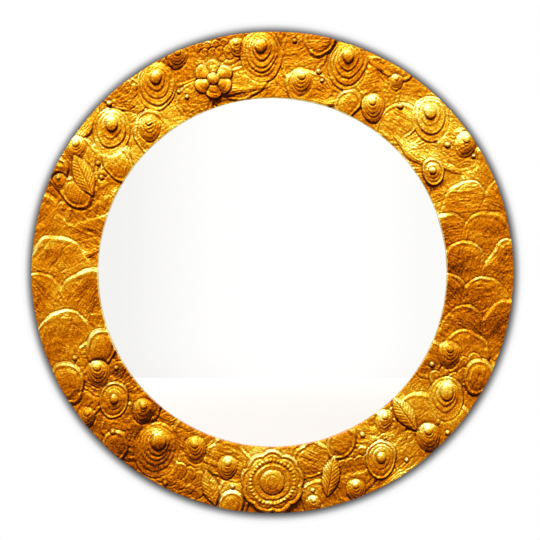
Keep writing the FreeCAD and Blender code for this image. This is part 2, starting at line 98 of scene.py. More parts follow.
def place(clock, across):
    """A point of the band, from its clock angle in degrees and its share of the way out."""
    radius = SIGHT_RADIUS + across * (OUTER_RADIUS - SIGHT_RADIUS)
    return radius * math.sin(math.radians(clock)), radius * math.cos(math.radians(clock))


# The grid of the relief: rings of points, close together where the cut edges are rounded

COLUMNS = 2040
ROWS = 104
EDGE_ROWS = np.array([0.0, 0.25, 0.8])
FIRST_ROW = 1.6
radii = np.concatenate([
    SIGHT_RADIUS + EDGE_ROWS,
    np.linspace(SIGHT_RADIUS + FIRST_ROW, GILT_RADIUS - FIRST_ROW, ROWS),
    GILT_RADIUS - EDGE_ROWS[::-1],
])
clocks = np.linspace(0, math.tau, COLUMNS, endpoint=False)
RADIUS, CLOCK = np.meshgrid(radii, clocks, indexing="ij")
X, Z = RADIUS * np.sin(CLOCK), RADIUS * np.cos(CLOCK)

COMB_WAYS = 7
COMB_CONTRAST = 7


def combed(reach, width, patch, seed, ridged=False):
    """Strokes of a tool over the band, combed in another direction from patch to patch."""
    total, weights = 0.0, 0.0
    for way in range(COMB_WAYS):
        along, across = turned(X, Z, math.pi * way / COMB_WAYS)
        weight = np.exp(COMB_CONTRAST * noise(X / patch + 5 * way, Z / patch + 9 * way, seed))
        stroke = noise(along / reach + 31 * way, across / width, seed + 1)
        total = total + weight * (creased(stroke) if ridged else stroke)
        weights = weights + weight
    return total / weights


def trowelled():
    """The ground: slow waves, then strokes laid on thickly, deep here and faint there."""
    waves = 0.8 * noise(X / 44, Z / 44, 11) + 0.45 * noise(X / 18, Z / 18, 12)
    strokes = 0.4 * combed(reach=22, width=4.4, patch=34, seed=13)
    strokes = strokes + 0.42 * combed(reach=14, width=1.9, patch=23, seed=15, ridged=True)
    return 0.45 + waves + strokes * (0.85 + 0.75 * noise(X / 26, Z / 26, 17))


# Kinds of ornament, each of which becomes a piece. Where two meet in a face, it goes to the later one
GROUND, RINGS, EYES, ROSETTES, LEAVES, SCALES, PLATES, DOMES, BEADS, RIDGES = range(10)

# The ground's height, the relief's height and the kind of ornament, at each point of the grid
ground = trowelled()
relief = ground.copy()
kind_at = np.zeros(X.shape, int)

# How a motif lies on the relief, in millimetres or as a share
EDGE_ROUNDING = 0.9
GROOVE_START, GROOVE_AT, GROOVE_WIDTH = -0.5, 0.7, 1.0
WAVES_KEPT = 0.5
WAVES_LOST_LAPPED = 0.6
LAPPED_LIFT = 0.05
LIFT_SHARE = 0.6
LIFT_MOST = 1.7
HEADROOM = 0.7
LEAST_RAISED = 0.3
LEAST_STANDING = 0.4


def local(x0, z0, lean, warp, seed, near):
    """Coordinates along and across a motif, bent a little so that its outline looks made by hand."""
    x, z = X[near], Z[near]
    turn = math.radians(lean)
    u = (x - x0) * math.sin(turn) + (z - z0) * math.cos(turn)
    v = (x - x0) * math.cos(turn) - (z - z0) * math.sin(turn)
    u = u + warp * noise(x / 15, z / 15, seed)
    v = v + warp * noise(x / 13 + 7, z / 13, seed + 1)
    return u, v


def add(kind, profile, spot, lean, reach, seed, warp=1.2, groove=0.5, lapped=False):
    """Sets a motif on the relief, with a tooled groove just outside it.

    A lapped motif shows only where it stands above what is there, as scales do. Any other covers what it
    lies on, and is lifted by a share of the mean height of that."""
    x0, z0 = spot
    near = (X - x0) ** 2 + (Z - z0) ** 2 < reach ** 2
    u, v = local(x0, z0, lean, warp, seed, near)
    raised, distance = profile(u, v)
    tooled = ridge(distance, groove, at=GROOVE_AT, width=GROOVE_WIDTH) * (distance > GROOVE_START)
    under = relief[near] - tooled
    stands = smooth(EDGE_ROUNDING, -EDGE_ROUNDING, distance)
    if lapped:
        top = ground[near] * (1 - WAVES_LOST_LAPPED * stands) + raised * stands + LAPPED_LIFT
        covers = (top > under) & (stands > 0)
        relief[near] = np.where(covers, top, under)
    else:
        covers = stands > 0.5
        lift = LIFT_SHARE * relief[near][covers].mean() if covers.any() else 0.0
        lift = min(max(lift, 0.0), LIFT_MOST, max(HIGHEST - HEADROOM - raised.max(), 0.0))
        top = ground[near] * WAVES_KEPT + lift + raised
        relief[near] = under * (1 - stands) + top * stands
    shown = covers & (raised > LEAST_RAISED) & (stands > LEAST_STANDING)
    kind_at[near] = np.where(shown, kind, kind_at[near])


# Profiles of the motifs. Each gives the height raised and the distance to the outline, negative inside.
# A motif is drawn with u up along it and v across it. half and side are half its length and half its width


def oval(u, v, half, side, egg=0.0):
    """Distance to an oval's outline, and share of the way out. A positive egg makes its upper end wider."""
    share = np.sqrt((u / half) ** 2 + (v / (side * (1 + egg * u / half))) ** 2)
    return (share - 1) * math.sqrt(half * side), share


def brushed(u, v, turn, seed, depth):
    """Brush strokes that all run one way over a motif."""
    along, across = turned(u, v, turn)
    broad = noise(along / 22, across / 4.2, seed + 1)
    return depth * (creased(noise(along / 15, across / 1.8, seed)) + broad)


FULL_BOSS_HALF, FULL_BOSS_SIDE, FULL_BOSS_HEIGHT = 31, 25, 6.9
BOSS_SLIDE, BOSS_EGG = 15.0, 0.05
BOSS_CROWN_SHARE, BOSS_TERRACE_SHARE, BOSS_UNEVEN_SHARE = 0.35, 0.86, 0.22


def stepped(half, side, height, terraces):
    """Uneven terraces, each sliding towards the upper end, with a rounded crown on the last."""
    rise = height * (1 - BOSS_CROWN_SHARE) / terraces

    def profile(u, v):
        raised = np.zeros_like(u)
        for terrace in range(terraces):
            raises = terrace > 0
            uneven = math.sin(5.3 * terrace + half) * raises
            part = 1 - BOSS_TERRACE_SHARE * (terrace + BOSS_UNEVEN_SHARE * uneven) / terraces
            wander = 0.5 * raises * noise(u / 9 + 3 * terrace, v / 9, int(half * 7))
            centre = BOSS_SLIDE * (1 - part) * half / FULL_BOSS_HALF
            bent = v + 0.045 * side * uneven + wander
            beyond, share = oval(u - centre, bent, half * part, side * part, BOSS_EGG)
            step = rise * (1 + 0.35 * math.sin(3.1 * terrace + side))
            raised += step * smooth(0.8, -1.5 - 0.8 * (uneven > 0.3), beyond)
            raised -= ridge(beyond, 0.34, at=1.0, width=0.9) * raises * (1 - 0.5 * uneven)
            raised += ridge(beyond, 0.14, at=-1.7, width=0.9)
            raised -= 0.125 * smooth(0, -half * 0.16, beyond) * (terrace < terraces - 1)
        raised += height * BOSS_CROWN_SHARE * cap(share)
        return raised, oval(u, v, half, side, BOSS_EGG)[0]
    return profile


DOME_RINGS = 3
DOME_EGG, DOME_SLIDE = 0.14, 0.13
DOME_TOP_SHARE = 0.3
DOME_BODY_SHARE, DOME_FOOT_SHARE, DOME_RINGS_SHARE = 0.42, 0.1, 0.22


def domed(half, side, height):
    """A dome, ringed like a shell low down, with a rounded point that leans towards the upper end."""
    top = half * DOME_TOP_SHARE

    def profile(u, v):
        beyond, share = oval(u, v, half, side, DOME_EGG)
        body = height * DOME_BODY_SHARE * np.clip(1 - share ** 2, 0, 1) ** 0.8 + height * DOME_FOOT_SHARE
        for ring in range(DOME_RINGS):
            uneven = math.sin(4.1 * ring + 3.7 * half + side)
            part = 0.8 - 0.17 * ring + 0.04 * uneven
            wander = 0.35 * noise(u / 7 + 3 * ring, v / 7, int(half * 5 + side))
            bent = v + 0.04 * side * uneven + wander
            centre = half * DOME_SLIDE * (1 + ring)
            edge, _ = oval(u - centre, bent, half * part, side * part, DOME_EGG)
            step = height * DOME_RINGS_SHARE / DOME_RINGS * smooth(0.7, -1.0, edge)
            body += step - ridge(edge, 0.28 * (1 - 0.6 * uneven), at=0.8, width=0.8)
        centre = half * DOME_SLIDE * (DOME_RINGS + 0.6)
        beyond_top, share_top = oval(u - centre, v, top, top * 0.9)
        body += height * DOME_TOP_SHARE * cap(share_top)
        body -= ridge(beyond_top, 0.45, at=0.6, width=0.7)
        return body, beyond
    return profile


PLATE_RIM_AT, PLATE_GROOVE_AT = -2.8, -5.6


def plated(half, side, height, tilt, rim, seed, pillow):
    """A pebble or petal whose upper edge stands off more than its lower end, with a turned rim."""
    def profile(u, v):
        beyond, share = oval(u, v, half, side, 0.12)
        raised = height * (1 - tilt / 2 + tilt / 2 * np.clip(u / half, -1, 1))
        raised += pillow * np.clip(1 - share ** 2, 0, 1)
        raised *= 0.45 + 0.55 * smooth(0.2, PLATE_RIM_AT, beyond)
        raised += ridge(beyond, rim, at=PLATE_RIM_AT, width=1.5)
        raised -= ridge(beyond, rim, at=PLATE_GROOVE_AT, width=1.9)
        raised += brushed(u, v, 1.4 * math.sin(seed * 1.9), 900 + seed, 0.22)
        return raised, beyond
    return profile


EYE_SHIFT, EYE_RING_SHARE = 0.08, 0.55


def eyed(half, side, low, pupil, high):
    """A low oval with a rounded rim, a raised ring and a tall pupil."""
    def profile(u, v):
        beyond, _ = oval(u, v, half, side, 0.08)
        raised = low * smooth(0.5, -0.8, beyond) + ridge(beyond, 0.45, at=-1.5, width=1.0)
        raised -= ridge(beyond, 0.6, at=-3.9, width=1.2)
        up = u - half * EYE_SHIFT
        beyond_ring, _ = oval(up, v, half * EYE_RING_SHARE, side * EYE_RING_SHARE)
        raised += 0.5 * smooth(0.6, -0.8, beyond_ring) - ridge(beyond_ring, 0.35, at=0.5, width=0.7)
        beyond_pupil, share_pupil = oval(up, v, pupil, pupil * 0.85)
        raised += (high - low) * cap(share_pupil)
        raised -= ridge(beyond_pupil, 0.45, at=0.6, width=0.7)
        return raised, beyond
    return profile


def leafy(half, side, height):
    """A pointed leaf with a rib and slanting veins."""
    def profile(u, v):
        width = side * np.clip(1 - (u / half) ** 2, 0, 1)
        edge = np.abs(v) - width
        beyond = np.where(np.abs(u) < half, edge * 0.85, np.hypot(np.abs(u) - half, v))
        raised = height * (0.45 + 0.55 * cap(v / np.maximum(width, 0.1)))
        raised -= ridge(v, 0.9, at=0, width=0.8)
        raised += 0.22 * np.sin((u - 1.1 * np.abs(v)) * 1.25) * smooth(0, 2, np.abs(v))
        return raised, beyond
    return profile


def petalled(radius, notch, petals, height, button, button_height):
    """A flower of rounded petals about a domed button."""
    def profile(u, v):
        reach, turn = np.hypot(u, v), np.arctan2(v, u)
        lobe = np.abs(np.cos(turn * petals / 2))
        edge = radius - notch * (1 - lobe ** 0.7)
        beyond = reach - edge
        raised = height * smooth(0.4, -1.2, beyond) * (0.62 + 0.38 * lobe ** 0.6)
        raised -= 0.8 * (1 - lobe) ** 3 * smooth(button * 0.6, button * 1.5, reach)
        raised -= ridge(reach - edge * 0.72, 0.55, at=0, width=1.6) * lobe
        raised -= ridge(reach - button, 0.8, at=0.9, width=0.9)
        middle = button_height * (0.5 + 0.5 * cap(reach / button))
        raised = np.maximum(raised, middle * (reach < button))
        return raised, beyond
    return profile


BEAD_CIRCLE, BEAD_RADIUS, BEADS_A_LOBE = 27, 2.1, 4


def medallion(radius, notch, lobes, height, boss, boss_height):
    """A scalloped plate: beaded edge, two rings and a ringed boss in the middle."""
    count = BEADS_A_LOBE * lobes

    def profile(u, v):
        reach, turn = np.hypot(u, v), np.arctan2(v, u)
        lobe = np.abs(np.cos(turn * lobes / 2))
        beyond = reach - (radius - notch * (1 - lobe ** 0.55))
        raised = height * smooth(0.4, -1.0, beyond)
        raised += ridge(beyond, 0.7, at=-2.6, width=1.5)
        raised -= ridge(beyond, 0.7, at=-6.0, width=1.1)
        offset = (turn * count / math.tau) % 1 - 0.5
        bead = np.hypot(offset * math.tau * BEAD_CIRCLE / count, reach - BEAD_CIRCLE)
        raised += 1.25 * cap(bead / BEAD_RADIUS)
        raised -= ridge(reach, 0.5, at=23.4, width=0.9)
        raised += ridge(reach, 0.5, at=20.6, width=1.3)
        raised -= ridge(reach - boss, 0.7, at=0.9, width=0.9)
        inside = (boss_height - height) * (0.35 + 0.65 * cap(reach / boss))
        raised += np.where(reach < boss, inside, 0)
        raised -= ridge(reach - boss * 0.55, 0.35, at=0, width=0.8)
        return raised, beyond
    return profile


def scaly(half, side, rise, seed):
    """A scale that stands off at its upper edge, which is rounded over, sharply here and broadly there."""
    def profile(u, v):
        beyond, _ = oval(u, v, half, side)
        up = np.clip((u / half + 1) / 2, 0, 1)
        round_the_rim = np.arctan2(v, u)
        shoulder = 0.055 * side * (1 + noise(round_the_rim * 2.2, u * 0 + 3, seed + 2))
        raised = rise * up ** 1.15 * (0.3 + 0.7 * smooth(0.3, -shoulder - 0.6, beyond))
        raised *= 0.92 + 0.16 * noise(round_the_rim * 1.7, u * 0 + 9, seed + 4)
        raised -= ridge(beyond + 2.2 * shoulder, 0.35, at=-2, width=2.2) * smooth(0.0, 0.6, u / half)
        return raised + brushed(u, v, 1.1 * math.sin(seed * 2.7), seed + 3, 0.24), beyond
    return profile


def pearl(radius, height):
    """A small round bead."""
    def profile(u, v):
        reach = np.hypot(u, v)
        return height * cap(reach / radius) + 0.3, reach - radius
    return profile


SWELL_CREST = 0.78


def swept(half, side, height, bend):
    """A long curved swell, gentle on one side and steep on the other, that fades out at both ends."""
    def profile(u, v):
        v = v - bend * (u / half) ** 2
        inside = np.clip(1 - (u / half) ** 2, 0, 1)
        width = side * np.maximum(inside, 0.03) ** 0.7
        beyond = np.where(np.abs(u) < half, np.abs(v) - width, np.hypot(np.abs(u) - half, v))
        across = np.clip((v / width + 1) / 2, 0, 1)
        gentle = (across / SWELL_CREST) ** 1.5
        steep = 1 - 0.45 * ((across - SWELL_CREST) / (1 - SWELL_CREST)) ** 2
        swell = np.where(across < SWELL_CREST, gentle, steep)
        ripples = 0.2 * np.sin(v * 1.9 + 2 * noise(u / 16, v / 9, 77)) * inside
        return height * swell * inside ** 0.5 + ripples, beyond
    return profile


# Motifs, in the order in which they are laid on. Lengths are in millimetres, angles in degrees. Each row of
# a table starts with the clock angle and the share across the band

FIELD_MARGIN = 16


def field(length, width, row_pitch, column_pitch, start, rise, first, last, lean, seed):
    """Overlapping scales between two clock angles, in the rows and columns that the CAD model has."""
    rows, columns = int(OUTER_RADIUS / row_pitch), int(2 * OUTER_RADIUS / column_pitch)
    places = []
    for row in range(-rows, rows + 1):
        for column in range(-columns, columns + 1):
            x = start + (column + row % 2 / 2) * column_pitch
            z = row * row_pitch
            clock = math.degrees(math.atan2(x, z)) % 360
            on_band = SIGHT_RADIUS - FIELD_MARGIN < math.hypot(x, z) < OUTER_RADIUS + FIELD_MARGIN
            if on_band and first < clock < last:
                places.append((x, z))
    chance = np.random.default_rng(seed)
    for index, (x, z) in enumerate(sorted(places, key=lambda p: -p[1])):
        aside, up, turn, grown, higher = chance.uniform(-1, 1, 5)
        spot = (x + 0.06 * width * aside, z + 0.05 * length * up)
        share = 1 + 0.09 * grown
        scale = scaly(length / 2 * share, width / 2 * share, rise * (0.9 + 0.12 * higher), seed + index)
        add(SCALES, scale, spot, lean + 16 * turn, reach=length * 0.72, seed=seed + 5 * index, warp=2.4,
            lapped=True)


field(length=106, width=84, row_pitch=50, column_pitch=74, start=-262, rise=4.8, first=249, last=292,
      lean=-8, seed=300)
field(length=78, width=62, row_pitch=39, column_pitch=54, start=22, rise=3.8, first=63, last=112,
      lean=12, seed=500)

# Low petals: length, width, height, lean
LOW_PETALS = (
    (-57, 0.35, 74, 52, 1.7, 35), (-41, 0.12, 58, 44, 1.9, -20), (-40, 0.92, 66, 46, 1.6, -62),
    (-24, 0.2, 60, 46, 1.7, 15), (-23, 0.78, 70, 50, 1.8, 55), (-11, 0.9, 58, 42, 1.6, -10),
    (-9, 0.25, 64, 40, 1.7, 70), (8, 0.7, 76, 56, 1.8, 20), (11, 0.2, 60, 44, 2, -75),
    (29, 0.55, 80, 60, 1.8, -25), (31, 0.95, 50, 40, 1.6, 60), (40, 0.25, 64, 42, 1.6, 50),
    (57, 0.7, 60, 46, 1.4, -40), (115, 0.5, 80, 62, 2, 30), (119, 0.05, 50, 40, 1.8, 10),
    (131, 0.9, 66, 50, 1.9, 25), (136, 0.4, 72, 54, 2, 60), (143, 0.78, 64, 46, 1.7, -15),
    (153, 0.15, 66, 48, 2, 80), (158, 0.62, 76, 58, 1.9, 20), (168, 0.88, 54, 44, 1.6, -30),
    (169, 0.25, 58, 42, 1.9, 45), (190, 0.82, 60, 46, 1.7, 30), (193, 0.28, 66, 50, 1.9, -50),
    (203, 0.7, 74, 54, 2, 10), (206, 0.1, 54, 42, 1.8, -80), (222, 0.6, 78, 60, 2, -30),
    (224, 0.08, 56, 40, 1.9, 15), (236, 0.8, 70, 52, 1.9, 30), (241, 0.35, 76, 58, 2.1, -10),
    (300, 0.75, 66, 52, 1.8, -30), (294, 0.25, 60, 48, 1.8, 20),
)
for index, (clock, across, length, width, height, lean) in enumerate(LOW_PETALS):
    petal = plated(length / 2, width / 2, height, tilt=1.1, rim=0.35, seed=index, pillow=0.8)
    add(PLATES, petal, place(clock, across), lean, reach=length * 0.62, seed=1000 + 3 * index, warp=2.6,
        groove=0.4)

# Rows of small scales, as on a feather: number, lean, length of one
FEATHERS = (
    (-69, 0.35, 5, 70, 22), (-40, 0.84, 4, -55, 20), (-14, 0.86, 4, 80, 18), (117, 0.55, 5, 65, 24),
    (145, 0.3, 4, -70, 20), (156, 0.4, 4, 75, 20), (205, 0.8, 5, -65, 22), (236, 0.22, 5, -70, 22),
    (296, 0.4, 5, 60, 24),
)
FEATHER_PITCH_SHARE, FEATHER_ROW_SHARE, FEATHER_SIDE_SHARE = 0.55, 0.5, 0.38
FEATHER_RISE = 2.3
for index, (clock, across, number, lean, length) in enumerate(FEATHERS):
    x0, z0 = place(clock, across)
    turn = math.radians(lean)
    scale = scaly(length / 2, length * FEATHER_SIDE_SHARE, FEATHER_RISE, 2200 + index)
    for row in range(2):
        back = row * length * FEATHER_ROW_SHARE
        for count in range(number):
            aside = (count + 0.5 * row - number / 2) * length * FEATHER_PITCH_SHARE
            spot = (x0 + aside * math.sin(turn) + back * math.cos(turn),
                    z0 + aside * math.cos(turn) - back * math.sin(turn))
            add(PLATES, scale, spot, lean - math.copysign(90, lean), reach=length * 0.8,
                seed=2000 + 40 * index + 5 * row + count, warp=0.9)

# Swells: length, width, height, lean, bend
SWELLS = (
    (-13, 0.26, 96, 26, 2.6, 78, 10), (-53, 0.92, 70, 18, 2.2, 42, -7), (-36, 0.05, 70, 20, 2.2, 60, 7),
    (13, 0.06, 80, 20, 2.2, 100, -6), (26, 0.92, 70, 18, 2.4, 120, 8), (52, 0.88, 84, 22, 2.2, 140, 9),
    (49, 0.2, 92, 26, 2.2, 130, -8), (56, 0.4, 70, 20, 2, 110, 6), (118, 0.95, 70, 18, 2.4, 20, 8),
    (133, 0.62, 84, 22, 2.5, 40, -9), (147, 0.92, 80, 20, 2.4, 60, 8), (161, 0.36, 76, 20, 2.4, 80, 7),
    (198, 0.3, 74, 20, 2.4, 110, -7), (208, 0.22, 80, 22, 2.4, 120, 9), (226, 0.66, 74, 20, 2.3, 150, -8),
    (246, 0.44, 84, 24, 2.4, 165, 9), (303, 0.3, 76, 22, 2.3, 30, -8), (276, 0.3, 80, 24, 1.8, 60, 7),
)
for index, (clock, across, length, width, height, lean, bend) in enumerate(SWELLS):
    add(RIDGES, swept(length / 2, width / 2, height, bend), place(clock, across), lean, reach=length * 0.6,
        seed=1800 + 3 * index, warp=2.2, groove=0.3, lapped=True)

# Pebbles: length, width, height, lean
PEBBLES = (
    (-55, 0.18, 48, 36, 3, -25), (11.5, 0.95, 50, 38, 2.8, 20), (24, 0.14, 42, 32, 2.6, 30),
    (117, 0.84, 46, 35, 3, 15), (158, 0.13, 46, 34, 3, 35), (190, 0.92, 40, 30, 2.7, 15),
    (222, 0.9, 42, 32, 2.8, 10), (241.5, 0.86, 54, 42, 3.2, -15), (246, 0.18, 50, 38, 3.2, 20),
    (295, 0.95, 40, 30, 2.8, 0), (-68, 0.55, 46, 34, 2.6, -40),
)
for index, (clock, across, length, width, height, lean) in enumerate(PEBBLES):
    pebble = plated(length / 2, width / 2, height, tilt=0.5, rim=0.5, seed=40 + index, pillow=0.9)
    add(PLATES, pebble, place(clock, across), lean, reach=length * 0.66, seed=1200 + 3 * index, warp=1.6,
        groove=0.6)

# Small domes: length, width, height, lean
SMALL_DOMES = (
    (-58, 0.86, 32, 26, 5.2, 8), (-40.5, 0.22, 34, 27, 5.8, -6), (-24, 0.9, 30, 25, 5.2, 10),
    (-9, 0.8, 24, 20, 4.4, -8), (8.5, 0.26, 36, 28, 6.2, 4), (31.5, 0.26, 36, 28, 6.4, -4),
    (33, 0.78, 22, 17, 4, 6), (56.5, 0.84, 32, 26, 5.8, 12), (115, 0.3, 34, 28, 6, 6),
    (136.5, 0.78, 38, 30, 6.2, -6), (143, 0.17, 28, 22, 5, 10), (159, 0.88, 30, 24, 5.4, -8),
    (193, 0.38, 30, 24, 5.2, 8), (203.5, 0.28, 34, 27, 5.8, -6), (223, 0.22, 32, 25, 5.6, 6),
    (232, 0.92, 28, 22, 5, 10), (240, 0.4, 36, 29, 6, -4), (297, 0.62, 26, 21, 4.8, 6),
    (-67, 0.85, 24, 20, 4.4, -10), (170, 0.9, 22, 18, 4.4, 0),
)
for index, (clock, across, length, width, height, lean) in enumerate(SMALL_DOMES):
    add(DOMES, domed(length / 2, width / 2, height), place(clock, across), lean, reach=length * 0.66,
        seed=1400 + 3 * index, warp=0.7, groove=0.6)

# Stepped bosses: share of full size, lean, terraces
STEPPED_BOSSES = (
    (-49, 0.58, 0.94, 8, 4), (-32, 0.66, 0.98, 4, 5), (-3, 0.62, 1.06, 0, 6), (20, 0.68, 1.00, 6, 5),
    (46, 0.68, 0.94, -5, 4), (126, 0.6, 0.88, 0, 4), (213, 0.56, 1.12, 4, 6),
)
for clock, across, share, lean, terraces in STEPPED_BOSSES:
    boss = stepped(FULL_BOSS_HALF * share, FULL_BOSS_SIDE * share, FULL_BOSS_HEIGHT * share, terraces)
    add(RINGS, boss, place(clock, across), lean, reach=40 * share, seed=40 + clock, groove=0.6)

# Eye bosses: share of full size, lean
for clock, across, share, lean in ((58, 0.22, 0.8, -10), (150, 0.62, 1.1, 6), (231, 0.44, 1.05, 8)):
    eye = eyed(22 * share, 17 * share, low=2.4, pupil=6.0 * share, high=5.6)
    add(EYES, eye, place(clock, across), lean, reach=30 * share, seed=80 + clock, groove=0.6)

# Pointed leaves: share of full size, lean
for clock, across, share, lean in ((-63, 0.55, 1.1, -25), (137, 0.28, 1.0, -35), (164, 0.56, 1.0, 10),
                                   (196, 0.74, 0.9, -15)):
    leaf = leafy(26 * share, 11 * share, height=3.6)
    add(LEAVES, leaf, place(clock, across), lean, reach=34 * share, seed=600 + clock, warp=0.8, groove=0.7)

# The flower and the medallion
flower = petalled(radius=25, notch=5, petals=6, height=3.8, button=7.5, button_height=5.8)
add(ROSETTES, flower, place(-17, 0.4), 0, reach=32, seed=700, warp=0.8, groove=0.7)
scalloped = medallion(radius=40, notch=4, lobes=9, height=2.8, boss=15, boss_height=5.2)
add(ROSETTES, scalloped, place(180, 0.52), 0, reach=46, seed=710, warp=0.9, groove=0.7)

# Small beads: radius
SMALL_BEADS = (
    (-61, 0.3, 3.2), (-44, 0.9, 3.6), (-26, 0.3, 3), (-27.5, 0.42, 2.4), (5.5, 0.86, 3),
    (13, 0.46, 3.4), (14.5, 0.34, 2.4), (37.5, 0.52, 4.2), (54, 0.62, 3.8), (60, 0.86, 2.8),
    (120, 0.14, 3.4), (132.5, 0.94, 3.2), (144.5, 0.84, 2.8), (151, 0.16, 3.4), (169.5, 0.7, 2.6),
    (190.5, 0.64, 3), (207, 0.92, 3.2), (225, 0.76, 3.6), (238.5, 0.12, 3), (246.5, 0.6, 3.2),
    (302, 0.46, 3),
)
for index, (clock, across, radius) in enumerate(SMALL_BEADS):
    bead = pearl(radius, radius * 0.9)
    add(BEADS, bead, place(clock, across), 0, reach=radius + 3, seed=1600 + 3 * index, warp=0.2)

# Marks of the hand over everything, fainter on the high parts
marks = 0.3 * combed(reach=9, width=3.6, patch=19, seed=31)
marks = marks + 0.24 * combed(reach=6, width=2.2, patch=15, seed=33, ridged=True)
relief += marks * (1 - 0.75 * smooth(3.0, 5.0, relief))

# The highest millimetre is rounded off, so that nothing passes the CAD model's height, and deep marks end
# at the lowest height
ROUNDED_OFF = 1
soft_top = HIGHEST - ROUNDED_OFF + np.tanh(relief - HIGHEST + ROUNDED_OFF)
relief = np.where(relief > HIGHEST - ROUNDED_OFF, soft_top, np.maximum(relief, LOWEST))

# Tone of the gilding, from 0, dark, to 1, bright: painted light and shade, and tone that varies at random

GRID_PITCH = 0.85


def blurred(values, reach):
    """Values on the grid, smoothed over a reach in millimetres."""
    steps = int(round(3 * reach))
    kernel = np.exp(-0.5 * (np.arange(-steps, steps + 1) * GRID_PITCH / reach) ** 2)
    kernel /= kernel.sum()
    spun = sum(weight * np.roll(values, offset - steps, axis=1) for offset, weight in enumerate(kernel))
    padded = np.pad(spun, ((steps, steps), (0, 0)), mode="edge")
    return sum(weight * padded[offset:offset + len(values)] for offset, weight in enumerate(kernel))


def sampled(values, x, z):
    """Values at any place on the band, read between the points of the grid."""
    row = np.interp(np.hypot(x, z), radii, np.arange(len(radii)))
    column = np.arctan2(x, z) % math.tau * COLUMNS / math.tau
    low, left = np.minimum(row.astype(int), len(radii) - 2), column.astype(int)
    up, over = row - low, column - left
    left, right = left % COLUMNS, (left + 1) % COLUMNS
    first = values[low, left] * (1 - over) + values[low, right] * over
    second = values[low + 1, left] * (1 - over) + values[low + 1, right] * over
    return first * (1 - up) + second * up


# The direction from which the painted light falls: up, and a little to the left
ASIDE, UP = -0.17, 0.985

# Broad patches where the tone is darker (below zero) or lighter: clock angle, reach, change of tone
TONE_PATCHES = ((98, 75, -0.16), (222, 90, -0.16), (316, 90, 0.11), (48, 70, 0.2), (135, 60, 0.05), (180, 50, 0.03))

# Strengths and shapes of the painted light: highlights, glints and shadows under ledges
MEAN_TONE = 0.5
BRIGHTEST, BRIGHTENING = 0.48, 0.45
GLINT_BRIGHTENING, LEDGE_SHADE_DARKENING = 0.22, 0.32
OUTER_DARKENING, OUTER_START, OUTER_END = 0.055, 270, 290
LEDGE_SHADE_STEP, LEDGE_SHADE_STEPS = 0.8, 17
LEDGE_SHADE_SLOPE = 0.45
GLINT_SLOPE, GLINT_LEAN, GLINT_SPREAD = 0.75, -0.1, 0.42


def facing(values, reach, x=ASIDE, z=UP):
    """How steeply the relief falls away towards a direction, which is how far it faces that way."""
    below, above = (sampled(values, X - side * x, Z - side * z) for side in (reach, -reach))
    return (below - above) / (2 * reach)


def ledge_shade():
    """How far each point lies in the painted shadow of a ledge above it."""
    deepest = np.zeros(relief.shape)
    for step in range(1, LEDGE_SHADE_STEPS + 1):
        reach = LEDGE_SHADE_STEP * step
        above = sampled(relief, X + reach * ASIDE, Z + reach * UP) - relief - LEDGE_SHADE_SLOPE * reach
        deepest = np.maximum(deepest, above)
    return blurred(np.clip(deepest, 0, 1), 0.7)


def painted_light_tone():
    """Painted light and shade on the gilding, for a light from above and a little to the left.

    What faces up gets painted highlights and glints.
    Painted shadow lies in grooves and under every ledge."""
    fine, soft = relief - blurred(relief, 1.8), blurred(relief, 1.0)
    # Painted light and shade: what faces up is brighter, what faces down darker. At several scales: the
    # relief, reach, weight, least and most slope that counts
    slopes = (
        (relief, 0.7, 0.25, -1.0, 0.9), (fine, 0.7, 0.5, -0.45, 0.42),
        (blurred(relief, 2.4), 1.2, 0.49, -0.5, 0.5), (blurred(relief, 6.0), 3.0, 1.0, -0.2, 0.16),
    )
    tone = sum(weight * np.clip(facing(values, reach), least, most)
               for values, reach, weight, least, most in slopes)
    # Painted highlight on what stands out and painted shade in hollows, at two scales: reach, weight,
    # most height that counts
    tone += sum(weight * np.clip(relief - blurred(relief, reach), -most, most)
                for reach, weight, most in ((1.3, 0.1, 1), (5.0, 0.026, 2.5)))
    # The painted highlights are uneven, with a painted glint where the surface leans towards the light
    unevenness = 1 + 0.5 * noise(X / 13, Z / 13, 41) + 0.25 * noise(X / 34, Z / 34, 43)
    off_slope = facing(soft, 0.9) - GLINT_SLOPE
    off_lean = facing(soft, 0.9, UP, -ASIDE) - GLINT_LEAN
    glint = np.exp(-(off_slope ** 2 + off_lean ** 2) / GLINT_SPREAD ** 2)
    tone = np.where(tone > 0, BRIGHTEST * (1 - np.exp(-tone / BRIGHTENING)) * unevenness, tone)
    # Painted glints brighten the tone and painted ledge shadows darken it
    tone += MEAN_TONE + GLINT_BRIGHTENING * glint * unevenness - LEDGE_SHADE_DARKENING * ledge_shade()
    for clock, reach, change in TONE_PATCHES:
        x, z = place(clock, 0.5)
        tone += change * np.exp(-((X - x) ** 2 + (Z - z) ** 2) / reach ** 2)
    tone -= OUTER_DARKENING * smooth(OUTER_START, OUTER_END, RADIUS)
    return tone + 0.05 * noise(X / 55, Z / 55, 21) + 0.065 * noise(X / 32, Z / 32, 23)


TONE = painted_light_tone()

# The cut edges of the band are rounded. The inner one is given a bright tone, less bright at its lowest part
EDGE_WIDTH, EDGE_DROP = 0.8, 0.5
OUTER_EDGE_TONE = 0.45
SIGHT_EDGE_TONE, SIGHT_EDGE_DIMMING, EDGE_TONE = 0.95, 0.3, 0.7
edge = np.minimum(RADIUS - SIGHT_RADIUS, GILT_RADIUS - RADIUS)
relief -= EDGE_DROP * (1 - smooth(0, EDGE_WIDTH, edge))
SIGHT_TONE = SIGHT_EDGE_TONE - SIGHT_EDGE_DIMMING * smooth(0.3, 1.0, -np.cos(clocks))
TONE += (SIGHT_TONE - EDGE_TONE) * (1 - smooth(0, EDGE_WIDTH, RADIUS - SIGHT_RADIUS))

# Pieces

SHARP_ANGLE = math.radians(60)


def in_scene(name, data):
    """A new object in the scene."""
    made = bpy.data.objects.new(name, data)
    scene.collection.objects.link(made)
    return made


